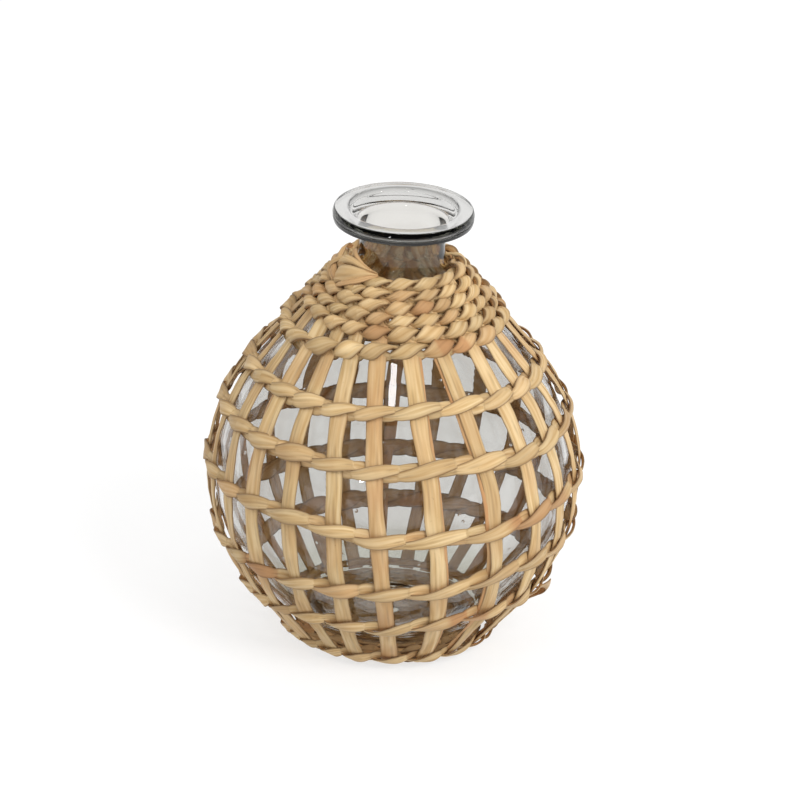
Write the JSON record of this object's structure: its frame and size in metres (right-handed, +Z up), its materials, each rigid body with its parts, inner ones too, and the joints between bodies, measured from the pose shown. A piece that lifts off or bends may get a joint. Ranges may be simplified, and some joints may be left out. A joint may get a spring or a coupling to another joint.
{
  "type": "wicker-wrapped vase",
  "caption": "Round clear glass bottle vase with a flat flared rim, in an open sleeve of twined rush with a closed woven collar under the neck.",
  "frame": {"origin": "centre of the underside of the woven base, on the bottle's axis, in the plane that the vase stands on", "axes": "+Z up along the bottle's axis; the pictured front faces -Y; +X is to the right in the picture"},
  "size_m": [0.1693, 0.1691, 0.1994],
  "materials": {
    "glass": "clear, faintly grey soda glass with a few seeds and bubbles, polished",
    "stake_rush": "dried flattened rush, straw coloured, matt, with lengthwise grain and creases",
    "weft_rush": "dried rush strip, straw to light brown, matt, twisted and creased where it turns",
    "base_rush": "closely twined rush, matt"
  },
  "bodies": {
    "root": {"glass_bottle": "glass", "woven_base": "base_rush", "stake_01": "stake_rush", "stake_02": "stake_rush", "stake_03": "stake_rush", "stake_04": "stake_rush", "stake_05": "stake_rush", "stake_06": "stake_rush", "stake_07": "stake_rush", "stake_08": "stake_rush", "stake_09": "stake_rush", "stake_10": "stake_rush", "stake_11": "stake_rush", "stake_12": "stake_rush", "stake_13": "stake_rush", "stake_14": "stake_rush", "stake_15": "stake_rush", "stake_16": "stake_rush", "stake_17": "stake_rush", "stake_18": "stake_rush", "stake_19": "stake_rush", "stake_20": "stake_rush", "stake_21": "stake_rush", "stake_22": "stake_rush", "stake_23": "stake_rush", "stake_24": "stake_rush", "collar_row_1_strand_a": "weft_rush", "collar_row_1_strand_b": "weft_rush", "collar_row_2_strand_a": "weft_rush", "collar_row_2_strand_b": "weft_rush", "collar_row_3_strand_a": "weft_rush", "collar_row_3_strand_b": "weft_rush", "collar_row_4_strand_a": "weft_rush", "collar_row_4_strand_b": "weft_rush", "collar_row_5_strand_a": "weft_rush", "collar_row_5_strand_b": "weft_rush", "collar_row_6_strand_a": "weft_rush", "collar_row_6_strand_b": "weft_rush", "band_1_strand_a": "weft_rush", "band_1_strand_b": "weft_rush", "band_2_strand_a": "weft_rush", "band_2_strand_b": "weft_rush", "band_3_strand_a": "weft_rush", "band_3_strand_b": "weft_rush", "band_4_strand_a": "weft_rush", "band_4_strand_b": "weft_rush", "band_5_strand_a": "weft_rush", "band_5_strand_b": "weft_rush", "foot_row_strand_a": "weft_rush", "foot_row_strand_b": "weft_rush", "tucked_end": "weft_rush", "weft_tail": "weft_rush"}
  },
  "joints": []
}
